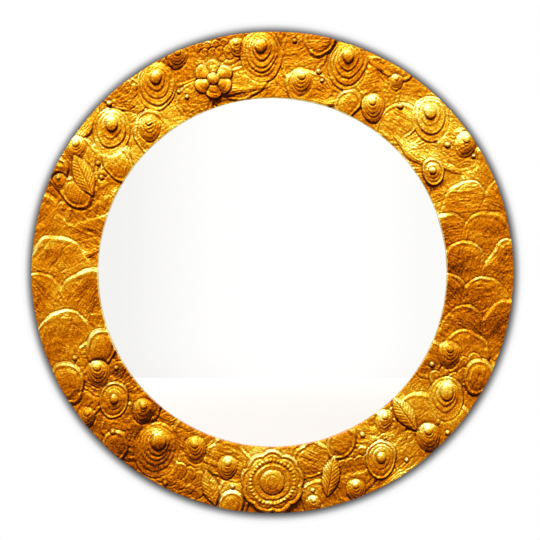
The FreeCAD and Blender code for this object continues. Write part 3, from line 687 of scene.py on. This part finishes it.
def new_mesh(name, points, faces, values):
    """A smooth-shaded piece on the frame, from points in millimetres (x, depth, z) and values at them."""
    mesh = bpy.data.meshes.new(name)
    places = np.stack([points[:, 0], -points[:, 1], points[:, 2]], axis=1) * MM
    mesh.from_pydata(places.tolist(), [], [list(face) for face in faces])
    for attribute_name, data in values.items():
        layer = mesh.attributes.new(attribute_name, "FLOAT", "POINT")
        layer.data.foreach_set("value", data.astype(np.float32))
    mesh.shade_smooth()
    mesh.set_sharp_from_angle(angle=SHARP_ANGLE)
    piece = in_scene(name, mesh)
    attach(piece, "frame")
    return piece


def circle(radius, depth, angles, x0=0.0, z0=0.0):
    """Points round a circle at one depth."""
    x, z = x0 + radius * np.sin(angles), z0 + radius * np.cos(angles)
    return np.stack([x, np.full(len(angles), depth), z], axis=-1)


def joined_rings(low, high):
    """Quads between rings of points, given by the points' numbers."""
    return np.stack([low, high, np.roll(high, -1, axis=-1), np.roll(low, -1, axis=-1)], axis=-1)


FEWEST_FACES = 40


def neighbours(values):
    """The values on the four sides of each face. At the ends of the grid a face is its own neighbour."""
    padded = np.pad(values, ((1, 1), (0, 0)), mode="edge")
    return np.stack([np.roll(values, 1, axis=1), np.roll(values, -1, axis=1), padded[:-2], padded[2:]])


def without_specks(kinds):
    """The kind of each face, with patches of only a few faces given to what lies beside them."""
    alike = neighbours(kinds) == kinds
    patch, before = np.arange(kinds.size).reshape(kinds.shape), None
    # Each face takes the lowest number in its patch, passed on from neighbour to neighbour
    while before is None or (patch != before).any():
        before = patch
        patch = np.where(alike, np.minimum(neighbours(patch), patch), patch).min(0)
        patch = patch.ravel()[patch]
    few = np.bincount(patch.ravel())[patch] < FEWEST_FACES
    kinds = np.where(few, -1, kinds)
    while (kinds < 0).any():
        kinds = np.where(kinds < 0, neighbours(kinds).max(0), kinds)
    return kinds


def relief_pieces():
    """Cuts the relief into a piece for each kind of ornament, and closes the ground round the edges."""
    count = len(radii)
    top = np.stack([X, BAND_FACE + relief, Z], axis=-1).reshape(-1, 3)
    rims = [circle(radius, BAND_BACK, clocks) for radius in (GILT_RADIUS, SIGHT_RADIUS)]
    points = np.concatenate([top] + rims)
    tone = np.concatenate([TONE.ravel(), np.full(COLUMNS, OUTER_EDGE_TONE), SIGHT_TONE])
    index = np.arange(len(points)).reshape(-1, COLUMNS)
    order = np.append(np.arange(len(index)), 0)
    quads = joined_rings(index[order[:-1]], index[order[1:]])
    kind = np.maximum(kind_at, np.roll(kind_at, -1, axis=1))
    kinds = np.zeros(index.shape, int)
    kinds[:count - 1] = np.maximum(kind[:-1], kind[1:])
    kinds = without_specks(kinds)
    pieces = []
    for kind, name, replaced in (
        (GROUND, "gilt_ground", "gilt_ring"), (RINGS, "gilt_stepped_bosses", "stepped_bosses"),
        (EYES, "gilt_eye_bosses", "eye_bosses"), (ROSETTES, "gilt_rosettes", "rosettes"),
        (LEAVES, "gilt_leaves", "leaves"), (SCALES, "gilt_scales", "overlapping_scales"),
        (PLATES, "gilt_petals", None), (DOMES, "gilt_domes", None), (BEADS, "gilt_beads", None),
        (RIDGES, "gilt_ridges", None),
    ):
        used, faces = np.unique(quads[kinds == kind], return_inverse=True)
        piece = new_mesh(name, points[used], faces.reshape(-1, 4), {"tone": tone[used]})
        if replaced:
            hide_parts(replaced)
        pieces.append(piece)
    return pieces


gilt_pieces = relief_pieces()

# Round head screws, in millimetres: places across the back, depth of the seat from the wall, sizes
BUTTON_PIVOT = 237.0
STRAP_SCREW_HEIGHT = 262.0
SCREW_SEAT = 4.4
HEAD_RADIUS, HEAD_HEIGHT, SHANK_RADIUS, SHANK_LENGTH = 3.2, 1.6, 1.5, 8.0
HEAD_SIDE_SHARE, HEAD_SQUARENESS = 0.25, 2.6
RECESS_REACH, RECESS_HALF_WIDTH, RECESS_DEPTH = 1.75, 0.36, 0.95
RECESS_TAPER = 0.45
HEAD_RINGS, HEAD_SPOKES = 30, 96


def screw(x0, z0, turn):
    """Points and faces of one screw: a domed head with a cross recess, and its shank."""
    reaches = np.concatenate([np.linspace(0.06, 0.97, HEAD_RINGS), [0.992, 1.0]]) * HEAD_RADIUS
    angles = np.linspace(0, math.tau, HEAD_SPOKES, endpoint=False)
    reach, angle = np.meshgrid(reaches, angles, indexing="ij")
    rounding = np.sqrt(np.clip(1 - (reach / HEAD_RADIUS) ** HEAD_SQUARENESS, 0, 1))
    head = HEAD_SIDE_SHARE + (1 - HEAD_SIDE_SHARE) * rounding
    u, v = np.abs(reach * np.cos(angle - turn)), np.abs(reach * np.sin(angle - turn))
    along, across = np.maximum(u, v), np.minimum(u, v)
    recess = smooth(0.13, -0.13, across - RECESS_HALF_WIDTH) * smooth(0.15, -0.15, along - RECESS_REACH)
    proud = HEAD_HEIGHT * head - recess * RECESS_DEPTH * (1 - RECESS_TAPER * along / RECESS_REACH)
    top = np.stack([x0 + reach * np.sin(angle), SCREW_SEAT - proud, z0 + reach * np.cos(angle)], axis=-1)
    rings = [top.reshape(-1, 3)]
    for radius, depth in ((HEAD_RADIUS, SCREW_SEAT), (SHANK_RADIUS, SCREW_SEAT),
                          (SHANK_RADIUS, SCREW_SEAT + SHANK_LENGTH)):
        rings.append(circle(radius, depth, angles, x0, z0))
    points = np.concatenate(rings)
    index = np.arange(len(points)).reshape(-1, HEAD_SPOKES)
    quads = joined_rings(index[:-1], index[1:]).reshape(-1, 4)
    return points, [list(quad) for quad in quads] + [list(index[0]), list(index[-1][::-1])]


def screws():
    """Five screws as one piece: one through each turn button, one through the hanger strap."""
    side = BUTTON_PIVOT * math.sin(math.pi / 4)
    spots = ((side, side), (side, -side), (-side, -side), (-side, side), (0, STRAP_SCREW_HEIGHT))
    points, faces, start = [], [], 0
    for number, (x, z) in enumerate(spots):
        some, corners = screw(x, z, 0.5 + 1.3 * number)
        points.append(some)
        faces += [[corner + start for corner in face] for face in corners]
        start += len(some)
    piece = new_mesh("cross_head_screws", np.concatenate(points), faces, {})
    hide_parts("wood_screws")
    return piece


screw_piece = screws()

# Materials


def node(tree, kind):
    """A new shader node."""
    return tree.nodes.new("ShaderNode" + kind)


def link(source, output, target, socket):
    """Joins an output of one node to a socket of another."""
    source.id_data.links.new(source.outputs[output], target.inputs[socket])


def put(target, socket, value):
    """Sets the value of a socket."""
    target.inputs[socket].default_value = value


def material(name, base, metallic, roughness):
    """A new material, its node tree and its shader."""
    made = bpy.data.materials.new(name)
    made.use_nodes = True
    shader = made.node_tree.nodes["Principled BSDF"]
    put(shader, "Base Color", (*base, 1))
    put(shader, "Metallic", metallic)
    put(shader, "Roughness", roughness)
    return made, made.node_tree, shader


def noise_node(tree, scale, detail, stretch=(1, 1, 1), roughness=0.5):
    """Noise in the object's own coordinates."""
    coordinates = node(tree, "TexCoord")
    mapping = node(tree, "Mapping")
    put(mapping, "Scale", stretch)
    texture = node(tree, "TexNoise")
    put(texture, "Scale", scale)
    put(texture, "Detail", detail)
    put(texture, "Roughness", roughness)
    link(coordinates, "Object", mapping, "Vector")
    link(mapping, "Vector", texture, "Vector")
    return texture


def ramp(tree, stops):
    """A colour ramp. A stop is a place and a colour, or a place and a level of grey."""
    made = node(tree, "ValToRGB")
    elements = made.color_ramp.elements
    while len(elements) < len(stops):
        elements.new(0.5)
    for element, (at, colour) in zip(elements, stops):
        element.position = at
        element.color = (*colour, 1) if isinstance(colour, tuple) else (colour, colour, colour, 1)
    return made


def maths(tree, operation, *values):
    """A math node, whose values are numbers or pairs of a node and the name of its output."""
    made = node(tree, "Math")
    made.operation = operation
    for number, value in enumerate(values):
        if isinstance(value, tuple):
            link(*value, made, number)
        else:
            put(made, number, value)
    return made


def bumped(tree, texture, shader, strength, height):
    """Gives a shader a fine bump from a texture, its height in metres."""
    bump = node(tree, "Bump")
    put(bump, "Strength", strength)
    put(bump, "Distance", height)
    link(texture, "Fac", bump, "Height")
    link(bump, "Normal", shader, "Normal")


GRAIN_WEIGHT, BLOTCH_WEIGHT = 1.6, 0.24
NOISE_MIDDLE = 0.922
GILT_ROUGHNESS, GILT_ROUGHNESS_SPREAD = 0.22, 0.3


def gold():
    """Gilding: the tone with its painted light and shade, a fine grain and slow blotches drive a ramp from
    dark to bright metal.
    """
    made, tree, shader = material("gilding_painted_light", (0.8, 0.3, 0.01), 1.0, 0.4)
    tone = node(tree, "Attribute")
    tone.attribute_name = "tone"
    grain = noise_node(tree, scale=440, detail=5, stretch=(1, 1, 1.8), roughness=0.7)
    blotch = noise_node(tree, scale=34, detail=3)
    level = maths(tree, "MULTIPLY_ADD", (grain, "Fac"), GRAIN_WEIGHT, (tone, "Fac"))
    level = maths(tree, "MULTIPLY_ADD", (blotch, "Fac"), BLOTCH_WEIGHT, (level, "Value"))
    level = maths(tree, "SUBTRACT", (level, "Value"), NOISE_MIDDLE)
    colours = ramp(tree, [
        (0, (0.05, 0.01, 0.0002)), (0.14, (0.16, 0.031, 0.0004)), (0.29, (0.34, 0.074, 0.0006)),
        (0.44, (0.49, 0.127, 0.001)), (0.56, (0.55, 0.198, 0.003)), (0.68, (0.58, 0.303, 0.009)),
        (0.84, (0.69, 0.485, 0.04)), (0.94, (0.85, 0.73, 0.13)), (1, (0.98, 0.95, 0.45)),
    ])
    link(level, "Value", colours, "Fac")
    link(colours, "Color", shader, "Base Color")
    rough = maths(tree, "MULTIPLY_ADD", (grain, "Fac"), GILT_ROUGHNESS_SPREAD, GILT_ROUGHNESS)
    link(rough, "Value", shader, "Roughness")
    bumped(tree, grain, shader, strength=0.7, height=1.2 * MM)
    return made


def speckled(name, stops, scale, roughness, bump, metallic=0.0, stretch=(1, 1, 1), detail=3, specular=0.5):
    """A material with a speckle that drives colour, roughness (a low and a high value) and a fine bump."""
    smoothest, roughest = roughness
    made, tree, shader = material(name, stops[0][1], metallic, smoothest)
    put(shader, "Specular IOR Level", specular)
    texture = noise_node(tree, scale, detail, stretch, 0.6)
    colours = ramp(tree, stops)
    link(texture, "Fac", colours, "Fac")
    link(colours, "Color", shader, "Base Color")
    rough = maths(tree, "MULTIPLY_ADD", (texture, "Fac"), roughest - smoothest, smoothest)
    link(rough, "Value", shader, "Roughness")
    bumped(tree, texture, shader, strength=0.5, height=bump)
    return made


HAZE = 0.006


def silver():
    """Clear mirror with the faintest haze."""
    made, tree, shader = material("silvered_glass", (0.925, 0.92, 0.908), 1.0, 0.0)
    haze = noise_node(tree, scale=9, detail=2)
    rough = maths(tree, "MULTIPLY_ADD", (haze, "Fac"), HAZE, 0.0)
    link(rough, "Value", shader, "Roughness")
    return made


def finish_node(name, made):
    """Gives a CAD node its material."""
    piece = nodes[name]
    piece.data.materials.clear()
    piece.data.materials.append(made)


gilding = gold()
for piece in gilt_pieces:
    piece.data.materials.append(gilding)
finish_node("mirror_glass", silver())
finish_node("core_ring", speckled(
    "charcoal_paint", [(0.3, (0.01, 0.011, 0.014)), (0.7, (0.02, 0.022, 0.027))],
    scale=620, roughness=(0.6, 0.8), bump=0.00015, detail=6, specular=0.25))
finish_node("backing_board", speckled(
    "hardboard_face",
    [(0.25, (0.075, 0.038, 0.018)), (0.5, (0.19, 0.105, 0.055)), (0.75, (0.31, 0.19, 0.11))],
    scale=560, roughness=(0.55, 0.75), bump=0.00025, stretch=(1, 1, 1.9), detail=9))
finish_node("felt_pads", speckled(
    "black_felt", [(0.3, (0.01, 0.01, 0.01)), (0.7, (0.035, 0.035, 0.035))],
    scale=900, roughness=(0.9, 1.0), bump=0.0003))
finish_node("glass_shims", speckled(
    "cork", [(0.3, (0.25, 0.13, 0.06)), (0.7, (0.55, 0.36, 0.2))],
    scale=500, roughness=(0.7, 0.9), bump=0.0002))
finish_node("wall_bumpers", speckled(
    "bumper_rubber", [(0.3, (0.012, 0.012, 0.013)), (0.7, (0.03, 0.03, 0.032))],
    scale=700, roughness=(0.55, 0.8), bump=0.0001))
zinc = speckled(
    "zinc_plate", [(0.25, (0.34, 0.35, 0.37)), (0.5, (0.44, 0.45, 0.46)), (0.8, (0.55, 0.55, 0.53))],
    scale=520, roughness=(0.2, 0.4), bump=0.00003, metallic=1.0, stretch=(1, 1, 5))
turn_buttons = [f"turn_button_{number}" for number in range(1, 5)]
for name in ["hanger_strap", "hanging_ring"] + turn_buttons:
    finish_node(name, zinc)
screw_piece.data.materials.append(speckled(
    "yellow_zinc", [(0.25, (0.36, 0.25, 0.11)), (0.5, (0.58, 0.44, 0.22)), (0.8, (0.7, 0.58, 0.34))],
    scale=420, roughness=(0.22, 0.4), bump=0.00002, metallic=1.0))

# Softened edges of the CAD nodes that show: widths in millimetres
SOFTENED = {"hanger_strap": 0.2, "hanging_ring": 0.35, "wall_bumpers": 0.8, "core_ring": 0.4,
            "backing_board": 0.3}
SOFTENED.update((name, 0.25) for name in turn_buttons)
for name, width in SOFTENED.items():
    bevel = nodes[name].modifiers.new("softened_edges", "BEVEL")
    bevel.width = width * MM
    bevel.segments = 2
    bevel.limit_method = "ANGLE"
    bevel.angle_limit = math.radians(50)

# Stage, in metres: a floor well below the mirror, and a wall just behind it with the disc's soft shadow
FLOOR_DROP = 1.4
FLOOR_SIDE, FLOOR_BEHIND, FLOOR_BEFORE = 24, 12, 15
WALL_SIDE, WALL_HEIGHT, WALL_BEHIND = 3, 3, 0.002
SHADOW_X, SHADOW_Z = 0.0004, -0.0006
SHADOW_START, SHADOW_WIDTH = 0.302, 0.0164


def plane(name, corners, made):
    """A flat piece of the stage."""
    mesh = bpy.data.meshes.new(name)
    mesh.from_pydata(corners, [], [(0, 1, 2, 3)])
    piece = in_scene(name, mesh)
    piece.data.materials.append(made)
    return piece


def floor_material():
    """A pale floor with painted shade: a little darker below the mirror than far away."""
    made, tree, shader = material("pale_floor", (0.594, 0.57, 0.553), 0.0, 0.6)
    coordinates = node(tree, "TexCoord")
    away = node(tree, "VectorMath")
    away.operation = "LENGTH"
    link(coordinates, "Object", away, 0)
    painted_floor_shade = ramp(tree, [
        (0, (0.47, 0.451, 0.438)), (0.12, (0.51, 0.49, 0.475)), (0.3, (0.594, 0.57, 0.553)),
        (0.7, (0.588, 0.56, 0.538)), (0.84, (0.605, 0.587, 0.573)), (0.97, (0.645, 0.638, 0.632)),
    ])
    link(maths(tree, "MULTIPLY", (away, "Value"), 1 / FLOOR_BEFORE), "Value", painted_floor_shade, "Fac")
    link(painted_floor_shade, "Color", shader, "Base Color")
    return made


def wall_material():
    """A white wall seen from the front only, with the soft contact shadow of the disc."""
    made = bpy.data.materials.new("white_wall")
    made.use_nodes = True
    tree = made.node_tree
    tree.nodes.clear()
    output = node(tree, "OutputMaterial")
    coordinates = node(tree, "TexCoord")
    apart = node(tree, "VectorMath")
    apart.operation = "DISTANCE"
    put(apart, 1, (SHADOW_X, WALL_BEHIND, SHADOW_Z))
    link(coordinates, "Object", apart, 0)
    shade = ramp(tree, [(0, (0.1, 0.101, 0.103)), (0.16, (0.18, 0.18, 0.181)), (0.38, 0.48), (0.53, 0.73),
                        (0.69, 0.93), (1, 1)])
    near = maths(tree, "SUBTRACT", (apart, "Value"), SHADOW_START)
    near = maths(tree, "DIVIDE", (near, "Value"), SHADOW_WIDTH)
    near.use_clamp = True
    link(near, "Value", shade, "Fac")
    glow = node(tree, "Emission")
    link(shade, "Color", glow, "Color")
    clear = node(tree, "BsdfTransparent")
    mix = node(tree, "MixShader")
    geometry = node(tree, "NewGeometry")
    link(geometry, "Backfacing", mix, "Fac")
    link(glow, 0, mix, 1)
    link(clear, 0, mix, 2)
    link(mix, 0, output, "Surface")
    return made


def rectangle(side, low, high):
    """Corners, anticlockwise from the lower left."""
    return (-side, low), (side, low), (side, high), (-side, high)


floor_corners = [(x, y, -FLOOR_DROP) for x, y in rectangle(FLOOR_SIDE, -FLOOR_BEFORE, FLOOR_BEHIND)]
plane("floor", floor_corners, floor_material())
wall_corners = [(x, WALL_BEHIND, z) for x, z in rectangle(WALL_SIDE, -FLOOR_DROP, WALL_HEIGHT)]
wall = plane("wall", wall_corners, wall_material())
for ray in ("diffuse", "glossy", "shadow", "transmission"):
    setattr(wall, "visible_" + ray, False)

# Lights


def pointed(light, direction, at=(0, 0, 0)):
    """Puts a light in the scene, shining in a direction."""
    holder = in_scene(light.name, light)
    holder.location = at
    holder.rotation_mode = "QUATERNION"
    holder.rotation_quaternion = Vector(direction).to_track_quat("-Z", "Y")


sun = bpy.data.lights.new("key_above", "SUN")
sun.energy = 1.8
sun.angle = math.radians(14)
pointed(sun, (0.2, 0.85, -1.0))

BACK_LAMP = Vector((0.8, 1.5, 1.3))
lamp = bpy.data.lights.new("back_above", "AREA")
lamp.shape = "DISK"
lamp.size = 1.0
lamp.energy = 10
pointed(lamp, -BACK_LAMP, BACK_LAMP)


STUDIO_STRENGTH = 2.25


def surroundings():
    """A white studio: an even wall at eye level, broad soft light overhead in front, less behind."""
    world = bpy.data.worlds.new("studio")
    scene.world = world
    world.use_nodes = True
    tree = world.node_tree
    tree.nodes.clear()
    output = node(tree, "OutputWorld")
    coordinates = node(tree, "TexCoord")
    parts = node(tree, "SeparateXYZ")
    link(coordinates, "Generated", parts, "Vector")

    def along(axis, stops):
        """A ramp from one side of the studio to the other along an axis."""
        made = ramp(tree, stops)
        link(maths(tree, "MULTIPLY_ADD", (parts, axis), 0.5, 0.5), "Value", made, "Fac")
        return made

    levels = along("Z", [(0, 0.1), (0.42, (0.45, 0.445, 0.44)), (0.47, 0.5), (0.59, 0.5), (0.72, 0.8),
                         (0.9, 0.9), (1, 0.4)])
    lit = node(tree, "Background")
    link(levels, "Color", lit, "Color")
    aside = along("X", [(0, 0.8), (0.44, 0.86), (0.475, 0.96), (0.5, 1), (0.53, 1), (0.56, 0.93), (1, 0.93)])
    behind = along("Y", [(0, 1), (0.45, 1), (0.6, 0.45), (1, 0.45)])
    strength = maths(tree, "MULTIPLY", (aside, "Color"), (behind, "Color"))
    strength = maths(tree, "MULTIPLY", (strength, "Value"), STUDIO_STRENGTH)
    link(strength, "Value", lit, "Strength")
    seen = node(tree, "Background")
    put(seen, "Color", (1, 1, 1, 1))
    path = node(tree, "LightPath")
    mix = node(tree, "MixShader")
    link(path, "Is Camera Ray", mix, "Fac")
    link(lit, 0, mix, 1)
    link(seen, 0, mix, 2)
    link(mix, 0, output, "Surface")


surroundings()

# Camera. The photograph is 540 pixels wide and shows the disc 481.8 pixels across, centred at these pixels
CENTRE_X, CENTRE_Y = 272.44, 272.43
PICTURE = 540
DISC_PIXELS = 481.8
PIXEL = 2 * OUTER_RADIUS * MM / DISC_PIXELS
LENS, SENSOR = 85.0, 36.0
camera_data = bpy.data.cameras.new("camera")
camera_data.lens = LENS
camera_data.sensor_width = SENSOR
camera = in_scene("camera", camera_data)
distance = PICTURE * PIXEL * LENS / SENSOR + BAND_BACK * MM
camera.location = ((PICTURE / 2 - CENTRE_X) * PIXEL, -distance, (CENTRE_Y - PICTURE / 2) * PIXEL)
camera.rotation_euler = (math.pi / 2, 0, 0)
scene.camera = camera
scene.view_settings.view_transform = "Standard"
scene.view_settings.look = "None"
